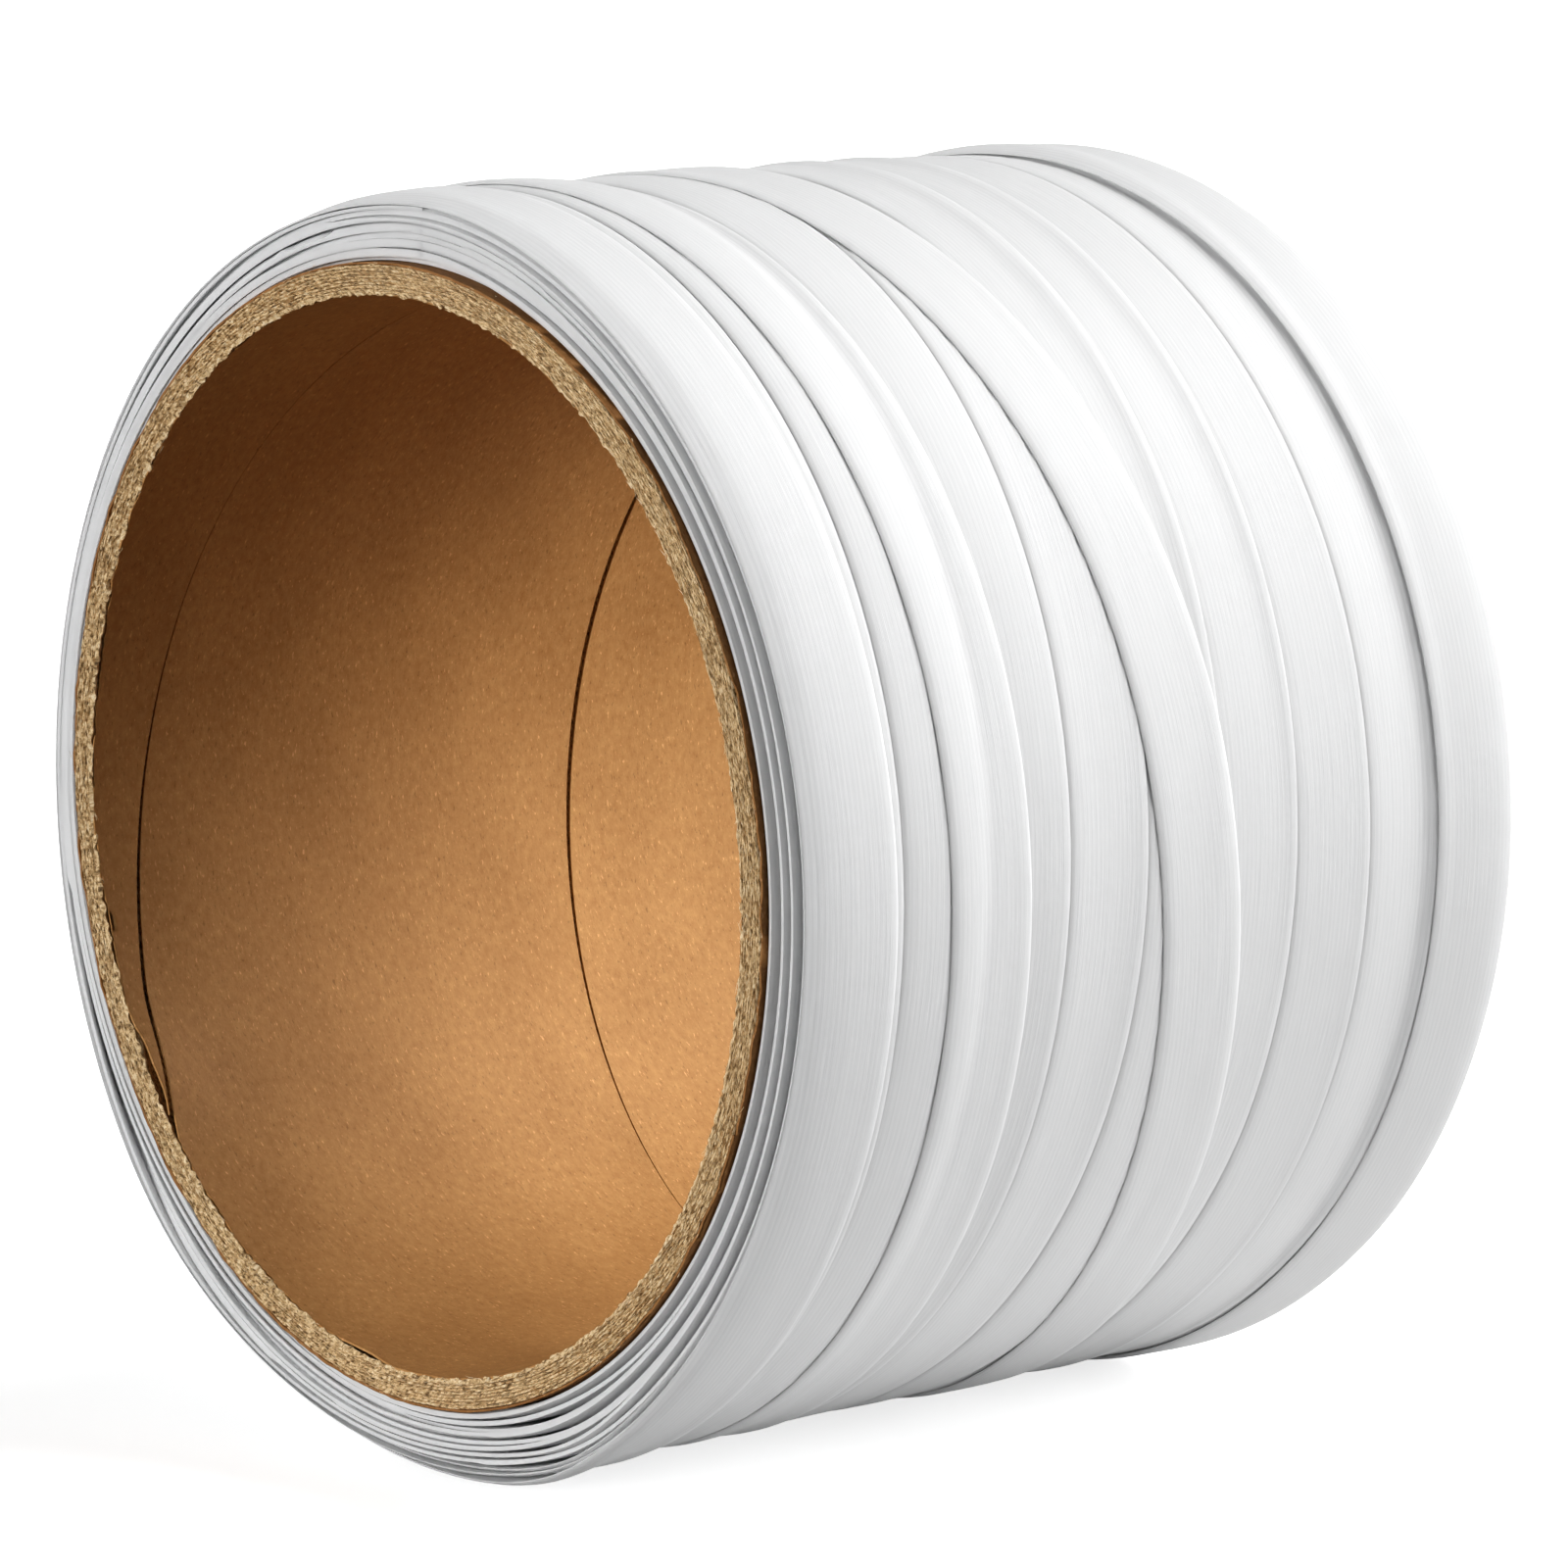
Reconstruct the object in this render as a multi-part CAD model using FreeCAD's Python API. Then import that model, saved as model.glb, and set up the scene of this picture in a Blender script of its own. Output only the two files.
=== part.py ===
"""Roll of flat corded strap, traverse-wound on a wide spiral-wound paperboard core.

Frame (millimetres): the roll lies on its side. The origin is the centre of the core's bore,
halfway along it. +X runs along the bore, +Z is up. Angles about the bore are measured
from +Z, positive by the right-hand rule about +X, so -90 degrees is the +Y side.
"""
import FreeCAD
import Part
import math
import os

Vector = FreeCAD.Vector

# Paperboard core
BORE_DIAMETER = 200.0
CORE_WALL = 6.0
CORE_LENGTH = 172.0
LINER_THICKNESS = 0.45          # smooth inner and outer facing papers
BODY_PLY_COUNT = 8              # thicker board strips between the two liners
GLUE_GAP = 0.03                 # left between neighbouring plies
PLY_LEAD = 106.5                # one turn of every paper strip advances this far
SEAM_GAP = 0.6                  # butt joint between neighbouring turns of one strip
INNER_SEAM_X = -45.4            # where the inner liner's seam crosses the top of the bore
SEAM_STEP = 0.38                # each next ply's seam is moved on by this share of a turn

# Strap
STRAP_WIDTH = 19.0
STRAP_THICKNESS = 1.0
LAYER_COUNT = 12
LAYER_RISE = 1.32               # radius gained per layer: the strap and the air under it
PACK_WIDTH = 168.8              # the wound strap along the core
WRAP_LEAD = 19.8                # one turn of the strap advances its width and a small gap
WRAP_GAP = WRAP_LEAD - STRAP_WIDTH
EDGE_WANDER = 0.8               # layer ends are uneven by up to this much
LAYER_TURN = 137.0              # degrees by which each layer's start is moved round
LAYER_CLEARANCE = 0.05          # between the core and the first layer

# The strap's loose outer end, on the upper back of the roll, where its weight keeps it down
FREE_END_PEEL = -70.0           # angle of the line where it leaves the roll
FREE_END_SWEEP = 38.0           # arc that the loose end covers, up from there to its tip
FREE_END_CLEARANCE = 0.35       # around the loose end, where it lies beside the last wrap
FREE_END_TIP_CLEARANCE = 1.5    # degrees between its cut tip and the start of that wrap

# The bottom of the outermost layer is pressed flat where the roll rests
REST_FLAT_WIDTH = 16.0

BORE_RADIUS = BORE_DIAMETER / 2
CORE_RADIUS = BORE_RADIUS + CORE_WALL
PLY_COUNT = BODY_PLY_COUNT + 2
BODY_PLY_THICKNESS = (
    CORE_WALL - 2 * LINER_THICKNESS - (PLY_COUNT - 1) * GLUE_GAP
) / BODY_PLY_COUNT
OUTER_LAYER_INNER_RADIUS = CORE_RADIUS + LAYER_CLEARANCE + (LAYER_COUNT - 1) * LAYER_RISE
PACK_RADIUS = OUTER_LAYER_INNER_RADIUS + STRAP_THICKNESS
SLIT_OVERRUN = 0.25             # how far a slit's cutter reaches past both faces of a ply


def along_x(shape):
    """Turn a shape made along local +Z so that it runs along +X, local +X pointing down."""
    turned = shape.copy()
    turned.rotate(Vector(0, 0, 0), Vector(0, 1, 0), 90)
    return turned


def tube(inner_radius, outer_radius, x_low, x_high):
    """Plain ring about the X axis."""
    length = x_high - x_low
    outer = Part.makeCylinder(outer_radius, length, Vector(x_low, 0, 0), Vector(1, 0, 0))
    inner = Part.makeCylinder(inner_radius, length, Vector(x_low, 0, 0), Vector(1, 0, 0))
    return outer.cut(inner)


def helical_slit(inner_radius, outer_radius, width, lead, turns, x_start, start_angle, hand):
    """Cutter that follows a helix about the X axis; hand is +1 for right, -1 for left."""
    middle = (inner_radius + outer_radius) / 2
    path = Part.makeLongHelix(lead, lead * turns, middle, 0, hand < 0)
    low, high = inner_radius - SLIT_OVERRUN, outer_radius + SLIT_OVERRUN
    corners = [
        Vector(low, 0, -width / 2),
        Vector(high, 0, -width / 2),
        Vector(high, 0, width / 2),
        Vector(low, 0, width / 2),
    ]
    profile = Part.makePolygon(corners + corners[:1])
    cutter = along_x(Part.Wire(path.Edges).makePipeShell([profile], True, True))
    # local +X points down after the turn, so the helix starts at 180 degrees
    cutter.rotate(Vector(0, 0, 0), Vector(1, 0, 0), start_angle - 180)
    cutter.translate(Vector(x_start, 0, 0))
    return cutter


def sector(radius, x_low, x_high, angle_from, angle_to):
    """Solid wedge about the X axis between two angles, angle_from below angle_to."""
    sweep = angle_to - angle_from
    wedge = Part.makeCylinder(radius, x_high - x_low, Vector(0, 0, 0), Vector(0, 0, 1), sweep)
    wedge = along_x(wedge)
    wedge.rotate(Vector(0, 0, 0), Vector(1, 0, 0), angle_from - 180)
    wedge.translate(Vector(x_low, 0, 0))
    return wedge


def save(node, shape):
    """Write one node as a STEP file and report its size."""
    solids = shape.Solids
    assert solids and shape.isValid(), node
    one = solids[0] if len(solids) == 1 else Part.makeCompound(solids)
    one.exportStep("parts/" + node + ".step")
    print(node, len(solids), "solid", round(one.Volume), "mm3")


def core_ply(index):
    """One paper strip of the core, wound on a helix with a butt joint between its turns."""
    is_liner = index in (0, PLY_COUNT - 1)
    thickness = LINER_THICKNESS if is_liner else BODY_PLY_THICKNESS
    below = index * GLUE_GAP
    if index > 0:
        below += LINER_THICKNESS + (index - 1) * BODY_PLY_THICKNESS
    inner_radius = BORE_RADIUS + below
    outer_radius = CORE_RADIUS if index == PLY_COUNT - 1 else inner_radius + thickness
    half = CORE_LENGTH / 2
    ring = tube(inner_radius, outer_radius, -half, half)
    seam_at_top = INNER_SEAM_X + (index * SEAM_STEP % 1.0) * PLY_LEAD
    first = seam_at_top - math.ceil((seam_at_top + half) / PLY_LEAD + 0.2) * PLY_LEAD
    turns = math.ceil((half - first) / PLY_LEAD + 0.2)
    seam = helical_slit(inner_radius, outer_radius, SEAM_GAP, PLY_LEAD, turns, first, 0, 1)
    return ring.cut(seam)


def layer_radius(index):
    """Inner radius of a strap layer, counted from 0 at the core."""
    return CORE_RADIUS + LAYER_CLEARANCE + index * LAYER_RISE


def layer_ends(index):
    """Low and high X of a strap layer, whose edges wander a little from layer to layer."""
    wander_low = EDGE_WANDER * (0.5 + 0.5 * math.sin(2.3 * index))
    wander_high = EDGE_WANDER * (0.5 + 0.5 * math.cos(1.7 * index))
    return -PACK_WIDTH / 2 + wander_low, PACK_WIDTH / 2 - wander_high


def strap_layer(index):
    """One pass of the strap along the core: a helix that closes into a ring at both ends."""
    inner_radius = layer_radius(index)
    outer_radius = inner_radius + STRAP_THICKNESS
    x_low, x_high = layer_ends(index)
    ring = tube(inner_radius, outer_radius, x_low, x_high)
    hand = 1 if index % 2 == 0 else -1
    first = x_low + STRAP_WIDTH + WRAP_GAP / 2
    turns = (x_high - x_low - 2 * STRAP_WIDTH - WRAP_GAP) / WRAP_LEAD
    slit = helical_slit(
        inner_radius, outer_radius, WRAP_GAP, WRAP_LEAD, turns, first, index * LAYER_TURN, hand
    )
    return ring.cut(slit)


def free_end_span():
    """Low and high X of the strap's loose end, in line with the last wrap."""
    x_high = layer_ends(LAYER_COUNT - 1)[1]
    return x_high - STRAP_WIDTH, x_high


def outermost_layer():
    """The last layer, open where the loose end lies and pressed flat underneath."""
    layer = strap_layer(LAYER_COUNT - 1)
    x_low, x_high = free_end_span()
    window = sector(
        PACK_RADIUS + 1,
        x_low - FREE_END_CLEARANCE,
        x_high + 1,
        FREE_END_PEEL,
        FREE_END_PEEL + FREE_END_SWEEP + FREE_END_TIP_CLEARANCE,
    )
    layer = layer.cut(window)
    flat_height = math.sqrt(PACK_RADIUS ** 2 - (REST_FLAT_WIDTH / 2) ** 2)
    below = Part.makeBox(
        PACK_WIDTH + 2,
        4 * REST_FLAT_WIDTH,
        PACK_RADIUS,
        Vector(-PACK_WIDTH / 2 - 1, -2 * REST_FLAT_WIDTH, -flat_height - PACK_RADIUS),
    )
    return layer.cut(below)


def free_end():
    """The cut end of the strap, curved as it was wound, from the peel line to its tip."""
    x_low, x_high = free_end_span()
    start_gap = math.degrees(FREE_END_CLEARANCE / PACK_RADIUS)
    ring = tube(OUTER_LAYER_INNER_RADIUS, PACK_RADIUS, x_low, x_high)
    keep = sector(
        PACK_RADIUS + 1,
        x_low - 1,
        x_high + 1,
        FREE_END_PEEL + start_gap,
        FREE_END_PEEL + FREE_END_SWEEP,
    )
    return ring.common(keep)


def free_end_hinge():
    """The line the loose end lifts about: its start, on the outer face of the strap."""
    angle = math.radians(FREE_END_PEEL) + FREE_END_CLEARANCE / PACK_RADIUS
    return Vector(0, -PACK_RADIUS * math.sin(angle), PACK_RADIUS * math.cos(angle))


def main():
    os.makedirs("parts", exist_ok=True)
    save("core_inner_liner", core_ply(0))
    for number in range(1, BODY_PLY_COUNT + 1):
        save("core_ply_%02d" % number, core_ply(number))
    save("core_outer_liner", core_ply(PLY_COUNT - 1))
    for number in range(1, LAYER_COUNT):
        save("strap_layer_%02d" % number, strap_layer(number - 1))
    save("strap_layer_%02d" % LAYER_COUNT, outermost_layer())
    save("strap_free_end", free_end())
    print("hinge line of the loose end at", free_end_hinge())
    print("pack radius", PACK_RADIUS, "free end X", free_end_span())


main()
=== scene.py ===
"""A roll of flat corded strap, traverse-wound on a spiral paperboard core, lying on its side.

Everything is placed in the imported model's frame: the origin is the centre of the bore, +X runs
along it and +Z is up. Inside this script lengths are millimetres and angles are degrees about
the bore, measured from the top and positive towards the camera's side, until on_roll() turns
them into points in metres.
"""
import math

import bmesh
import bpy
import numpy as np
from mathutils import Matrix, Vector


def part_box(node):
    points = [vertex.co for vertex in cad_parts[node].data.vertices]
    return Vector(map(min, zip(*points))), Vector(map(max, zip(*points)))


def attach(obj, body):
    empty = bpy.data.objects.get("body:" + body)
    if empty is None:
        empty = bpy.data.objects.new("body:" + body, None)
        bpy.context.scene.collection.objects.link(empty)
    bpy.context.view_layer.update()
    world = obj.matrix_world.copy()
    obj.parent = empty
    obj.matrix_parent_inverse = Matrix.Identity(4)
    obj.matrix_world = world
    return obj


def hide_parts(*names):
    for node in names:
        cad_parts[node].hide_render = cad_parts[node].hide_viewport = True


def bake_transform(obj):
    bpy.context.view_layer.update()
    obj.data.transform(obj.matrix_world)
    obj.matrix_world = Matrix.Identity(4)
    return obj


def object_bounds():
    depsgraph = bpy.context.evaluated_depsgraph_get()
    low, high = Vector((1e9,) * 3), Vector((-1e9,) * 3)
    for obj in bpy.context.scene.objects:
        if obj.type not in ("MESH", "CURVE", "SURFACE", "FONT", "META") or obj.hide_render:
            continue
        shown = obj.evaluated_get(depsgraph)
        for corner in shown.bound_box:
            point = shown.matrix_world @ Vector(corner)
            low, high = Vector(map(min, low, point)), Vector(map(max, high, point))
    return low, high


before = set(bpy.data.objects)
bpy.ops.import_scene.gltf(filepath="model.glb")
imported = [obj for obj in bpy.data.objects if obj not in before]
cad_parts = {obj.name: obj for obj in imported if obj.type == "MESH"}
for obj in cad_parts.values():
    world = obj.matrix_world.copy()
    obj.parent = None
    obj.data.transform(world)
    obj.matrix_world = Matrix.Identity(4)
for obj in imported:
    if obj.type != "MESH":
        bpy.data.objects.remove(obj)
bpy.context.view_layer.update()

MM = 0.001                       # one millimetre in Blender's metres
SEED = 417

# ------------------------------------------------------------------ sizes taken from the frame
core_low, core_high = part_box("core_outer_liner")
bore_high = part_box("core_inner_liner")[1]
free_low, free_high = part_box("strap_free_end")
NEAR_END = core_low.x / MM       # the core's end that faces the camera
FAR_END = core_high.x / MM
CORE_RADIUS = core_high.y / MM
LINER_THICKNESS = 0.45
BORE_RADIUS = bore_high.y / MM - LINER_THICKNESS
STRAP_WIDTH = (free_high.x - free_low.x) / MM
FREE_END_X = (free_high.x + free_low.x) / 2 / MM

# ------------------------------------------------------------------ the strap and its winding
STRAP_THICKNESS = 0.80
EDGE_DROP = 0.55                 # the outer strap is this much thinner at its very edges
BLUNT_DROP = 0.14                # and the inner passes, whose edges make the end faces, this much
EDGE_TAPER = 0.9                 # it thickens over about this distance
AIR_GAP = 0.45                   # between one inner layer and the next
END_AIR_GAP = 0.10               # where the turns are drawn tight together at the near end
AIR_REACH = 30.0                 # how far from the near end the gap has grown to AIR_GAP
AIR_SWELL = 1.3                  # the gap grows by this factor at most where the pile is low
LAYER_PITCH = 1.22               # a layer's usual share of the winding's thickness
PACK_SETBACK = 1.2               # the wound strap starts this far in from the core's end
CORD_COUNT = 18                  # cords laid side by side across the strap
CORD_GROOVE = 0.13               # depth of the groove between two cords
CORD_UNEVENNESS = 0.012
PASS_COUNT = 12
INNER_PASS_COUNT = 10            # wound by formula; the outer two follow OUTER_ROUTE
INNER_WRAPS = 8                  # turns side by side in each inner pass
STEP_SHARE = 0.5                 # part of each turn in which the strap moves to its next place
START_ANGLE = 5.0                # it moves while it runs up the back of the roll
STEP_JITTER = 0.07               # part of a turn by which that moment varies
WRAP_SHIFT = 1.1                 # unevenness of the places of the inner turns
STAGGER = 5.0                    # passes are offset this far, two one way and two the other
INNER_EASE = 30.0                # degrees over which an inner turn's change of place is eased
OUTER_EASE = 12.0                # and an outer turn's
WANDER = 0.16                    # slow unevenness of the strap's place, everywhere
WANDER_STEPS = 60                # steps over which it changes
PEEL_ANGLE = 290.0               # where the loose end leaves the roll
TIP_ANGLE = 328.0

STEPS_PER_TURN = 480
HALF_TURN = STEPS_PER_TURN // 2  # the strap is laid in lengths of this many steps
LAP_STEPS = 24                   # each length is settled together with this much on either side
DEGREES_PER_STEP = 360 / STEPS_PER_TURN
CELL = 0.25                      # spacing of the height field along the roll
FIELD_MARGIN = 12.0              # the height field runs this far past the core's ends
FIELD_START = NEAR_END - FIELD_MARGIN
# Share of STAGGER that each turn of an inner pass takes: none in the two end turns
STAGGER_SHARES = np.array([0, 0.35, 0.8, 1, 1, 0.8, 0.35, 0])
# Rounds of smoothing by which a laid turn finds its rest, and how far each spreads a bump:
# cells across the strap and steps along it
SETTLING = (12, 3, 3)

# Setback of each inner pass's last or first turn from the ends, innermost first
NEAR_SETBACKS = (2.6, 0.1, 1.5, 1.2, 0.0, 1.4, 1.1, -0.1, 1.5, 0.9)
FAR_SETBACKS = (1.6, 0.6, 1.3, 0.9, 1.5, 0.7, 1.2, 0.5, 1.0, 0.8)
NEAR_SWING = 0.8                 # an end turn runs out of square by this much either way
FAR_SWING = 0.4
DWELL_SWING_ANGLE = 85.0         # the angle at which it comes nearest the end
FLUSH_ARC = (-70, 125)           # where the end turns lie flush: middle and half span
FLUSHNESS = 0.9                  # share of their unevenness that is taken out in its middle
FLUSH_SETBACK = 0.5              # they lie this much further in than PACK_SETBACK there

# The visible outer turns: (turn, degrees, middle of the strap from the near end)
OUTER_ROUTE = (
    (1, 90, 159.0), (1, 150, 158.8), (1, 250, 153.0),
    (2, 19, 144.9), (2, 44, 142.8), (2, 90, 141.9), (2, 137, 140.9), (2, 240, 135.0),
    (3, 13, 126.4), (3, 40, 124.3), (3, 87, 123.6), (3, 148, 123.2), (3, 240, 118.0),
    (4, 11, 110.9), (4, 56, 107.0), (4, 100, 104.8), (4, 160, 103.0), (4, 270, 99.5),
    (5, 14, 96.3), (5, 51, 90.9), (5, 90, 86.4), (5, 160, 83.4), (5, 270, 79.5),
    (6, 22, 75.9), (6, 68, 70.4), (6, 99, 68.0), (6, 124, 66.2), (6, 240, 61.5),
    (7, 18, 57.3), (7, 68, 51.6), (7, 97, 49.4), (7, 126, 47.8), (7, 260, 42.0),
    (8, 13, 33.6), (8, 43, 32.3), (8, 88, 30.0), (8, 150, 27.6), (8, 260, 22.0),
    (9, 0, 15.2), (9, 90, 11.6), (9, 180, 12.0), (9, 270, 10.6),
    (10, 0, 10.9), (10, 60, 9.9), (10, 120, 9.9), (10, 180, 12.0), (10, 270, 25.0),
    (11, 0, 38.2), (11, 20, 39.0), (11, 68, 40.0), (11, 123, 41.6), (11, 160, 44.8),
    (11, 260, 58.0),
    (12, 23, 75.7), (12, 66, 85.1), (12, 110, 94.2), (12, 138, 100.3), (12, 260, 129.0),
    (13, 0, 156.4), (13, 33, 158.8), (13, 90, 159.4), (13, 180, 160.0), (13, 340, 160.1),
)
TURN_ROUND = (9, 180)            # where the second-last pass ends and the last one starts

# Slack that opens lens-shaped gaps at the near end, under the end turn of one pass:
# (pass, middle angle, half span, height)
SLACK = (
    (1, -12, 34, 1.6),
    (2, -140, 70, 0.8),
    (3, 157, 20, 1.2),
    (4, 12, 26, 0.6),
    (5, -140, 70, 0.9),
    (5, 154, 15, 0.8),
    (7, 156, 15, 1.0),
    (8, -140, 70, 0.9),
    (9, 161, 16, 1.0),
    (9, -4, 24, 0.6),
    (10, -150, 60, 0.6),
    (11, 166, 15, 1.1),
)
SLACK_REACH = 24.0               # how far from the near end the slack dies away

# The inner passes bed down into an even surface, except close to the ends, where the back of
# the near end is wound more loosely
BEDDING_WIDTHS = (12, 26)        # steps round the roll and cells along it
BEDDING_LIMITS = (0.8, 1.25)     # the most that the passes are pressed together or spread
BEDDING_ENDS = (5.0, 14.0)       # it begins this far in from the ends and is complete here
LOOSE_ARC = (-95, 80)            # middle and half span
LOOSENESS = 0.45

# Near the near end the inner turns are then packed together
PACKED_GAP = 0.9                 # the most by which a gap is closed
PACKED_DEPTH = (4.0, 12.0)       # from the near end: fully packed up to here, not at all from here
PACKED_ARC = (-70, 170)          # middle and half span
PACKED_FULLNESS = 1.6            # above 1, so that only the arc's two ends are packed in part

# The strap's mesh and its loose end
MESH_STRIDE = 2                  # steps from one cross-section to the next
PLAIN_TOP_POINTS = 14            # points across the top where the cords aren't modelled
UNDERSIDE_POINTS = (6, 5)        # points across the underside: without cords, with cords
UNDERSIDE_INSET = 0.06           # the underside is narrower by this at each edge
TEXTURE_RADIUS = 120.0           # lengths along the strap are taken at this radius
HINGE_RADIUS = CORE_RADIUS + 15.5   # a hinge line for the loose end at this radius; nothing bends it
BEND_ARC = 9.0                   # arc beyond that hinge; the point it gives is not used, and the loose end is not bent

# ------------------------------------------------------------------ the core
PAPER_LEAD = 106.5               # one turn of a facing paper advances this far
SEAM_GAP = 0.55                  # its edges stay this far apart
SEAM_ROWS = (0.8, 2.5)           # its mesh is finer this close to the edges
PAPER_ROWS = 44                  # rows of the mesh between them
SEAM_WAVE = (0.35, 1.7)          # the seam's slow waver: height, and waves in a turn
LINING_SEAM = -45.4              # where along the bore the lining's seam crosses the top
WRAP_SEAM = -12.0                # and the outer paper's
LINING_SETBACK = 0.85            # the lining's near edge lies this far inside the core's end
WRAP_SETBACK = 0.35              # and the outer paper's; both papers' far edges do as well
# Raggedness of the cut edges, fine and coarse: (degrees, depth)
PAPER_TEARS = ((0.7, 0.176), (3.0, 0.128))
PAPER_UNEVENNESS = 0.05
UNEVENNESS_WIDTHS = (14, 5)      # degrees round the core and rows along it
CURL_WIDTH = 1.2                 # the lining's seam edges curl up over about this width
CURL_LIFT = 0.16
CURL_RATE = 2.3                  # it comes and goes twice as often as this in a turn
NARROWEST_PAPER = 0.02           # the clipped strip's ends are left out below this width
WELD_DISTANCE = 2e-6             # metres

# Where the lining has come away from the board at the near end:
# (middle angle, half span, height, depth)
LINER_BULGES = (
    (-123, 11, 2.6, 13.0),
    (-171, 7, 0.9, 6.0),
    (-108, 8, 0.6, 6.0),
)

OUT_OF_SQUARE = 1.2              # how far the near end is cut out of square with the bore
SQUARE_ANGLE = 95.0              # the angle at which it reaches furthest out
PLY_STEPS = 1800                 # points round a ply
PLY_COLUMNS = 4                  # faces across its sawn end
PLY_GAP = 0.03                   # between one ply and the next
SAWN_SETBACK = 0.22              # the sawn face lies this far inside the core's end, pits apart
SAWN_GROOVE = 0.3                # how far the plies' edges lie behind it
SMALL_PITS = ((1.3, 0.2), 0.2)   # widths round and across the ply, in points, and depth
BROAD_PITS = ((6.0, 0.0), 0.06)
PIT_LIMIT = 0.5                  # share of a small pit's depth by which fibre stands out at most
INNER_PLY_OVERHANG = 0.45        # the innermost ply's near edge is torn over the lining
OVERHANG_UNEVENNESS = (1.2, 0.35)   # its width in points, and its share of the overhang
INNER_PLY_RECESS = 0.9           # and behind the lining its inner face stands back
RECESS_START = 4.0               # from this far in from the ends

FIBRE_RADIUS = 0.07
FIBRE_STAND = 0.55               # how far torn fibres stand out
FIBRE_ROOT = 0.60                # how deep they are rooted
TEXTURE_UNIT = 100.0             # texture coordinates on the core are lengths in this unit

# ------------------------------------------------------------------ colours
STRAP_PALE = (0.80, 0.80, 0.80)
STRAP_DULL = (0.72, 0.725, 0.73)
# painted shade for the grooves between the cords
STRAP_GROOVE_SHADE = (0.58, 0.585, 0.59)
STRAP_CLOUD = (0.66, 0.67, 0.68)
STRAP_SPECK = (0.33, 0.32, 0.31)
LINING_LIGHT = (0.56, 0.32, 0.128)
LINING_DARK = (0.44, 0.226, 0.08)
WRAP_LIGHT = (0.42, 0.22, 0.085)
WRAP_DARK = (0.28, 0.13, 0.045)
BOARD_TONES = (                  # with their places in the noise of its fibres
    (0.38, (0.08, 0.040, 0.014)),
    (0.45, (0.46, 0.30, 0.14)),
    (0.52, (0.78, 0.58, 0.33)),
    (0.65, (0.98, 0.85, 0.62)),
)
BOARD_PATCH = (0.60, 0.38, 0.16)
FIBRE_DARK = (0.62, 0.42, 0.20)
FIBRE_LIGHT = (0.90, 0.76, 0.54)
BLACK = (0, 0, 0)
WHITE = (1.0, 1.0, 1.0)

# ------------------------------------------------------------------ floor, lights and camera
CAMERA_PLACE = (-0.82594, -1.00359, 0.19030)   # metres
CAMERA_LOOK = (0.6323141, 0.7612422, -0.1438373)
CAMERA_UP = (0.1030592, 0.1013619, 0.9894971)
CAMERA_LENS = 157.5              # millimetres
CAMERA_SENSOR = 36

WORLD_LIGHT = 0.02               # the backdrop looks white, but lights the roll only this much
# Large soft lights: strength, direction that they shine from, degrees across
LIGHTS = {
    "key_light": (2.8, (0.70, -0.27, 0.66), 40),
    "front_light": (1.8, (0.55, -0.80, 0.23), 35),
    "rim_light": (2.8, (-1.0, 0.10, 0.15), 30),
    "back_light": (0.9, (0.0, 1.0, 0.12), 50),
}
FLOOR_REACH = 60.0               # metres
FLOOR_SHADE = (0.70, 0.70, 0.70)
FLOOR_GLOW = 0.62                # added to what the camera sees of it, but lights nothing
CLOTH_SHADE = (0.05, 0.05, 0.05)
# Metres along the roll: all dark from the first outwards, all light from the second inwards
NEAR_CLOTH_EDGE = (-0.16, -0.08)
FAR_CLOTH_EDGE = (0.24, 0.12)


def smooth_line(values, width):
    """Gaussian smoothing of a one-dimensional array, with its end values held."""
    reach = int(width * 3) + 1
    kernel = np.exp(-0.5 * (np.arange(-reach, reach + 1) / width) ** 2)
    padded = np.pad(values, reach, mode="edge")
    return np.convolve(padded, kernel / kernel.sum(), mode="valid")


def ring_blur(field, widths):
    """Gaussian smoothing of a field that wraps round in each direction that has a width."""
    for axis, width in enumerate(widths):
        if width > 0:
            wave = np.fft.fftfreq(field.shape[axis])
            damping = np.exp(-2 * (math.pi * wave * width) ** 2)
            line = [1] * field.ndim
            line[axis] = -1
            transform = np.fft.fft(field, axis=axis)
            field = np.fft.ifft(transform * damping.reshape(line), axis=axis).real
    return field


def ring_noise(rng, shape, widths):
    """Smooth noise of unit deviation on a grid that wraps round."""
    noise = ring_blur(rng.standard_normal(shape), widths)
    return noise / noise.std()


def eased(share):
    """Smooth step from 0 to 1."""
    return share * share * (3 - 2 * share)


def bump(angle, middle, half_span):
    """Smooth hump over an arc, 1 at its middle, 0 from half_span on."""
    away = np.abs((angle - middle + 180) % 360 - 180) / half_span
    return np.where(away < 1, 0.5 + 0.5 * np.cos(math.pi * away), 0.0)


def end_turn(angles, setback, near):
    """Middle of the strap in its turn at one end of the roll."""
    swing = 1 - np.cos(np.radians(angles - DWELL_SWING_ANGLE))
    if near:
        setback = setback + NEAR_SWING * swing
        flush = FLUSHNESS * bump(angles, *FLUSH_ARC)
        setback = setback + (PACK_SETBACK + FLUSH_SETBACK - setback) * flush
        return NEAR_END + setback + STRAP_WIDTH / 2
    return FAR_END - setback - STRAP_WIDTH / 2 - FAR_SWING * swing


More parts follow.
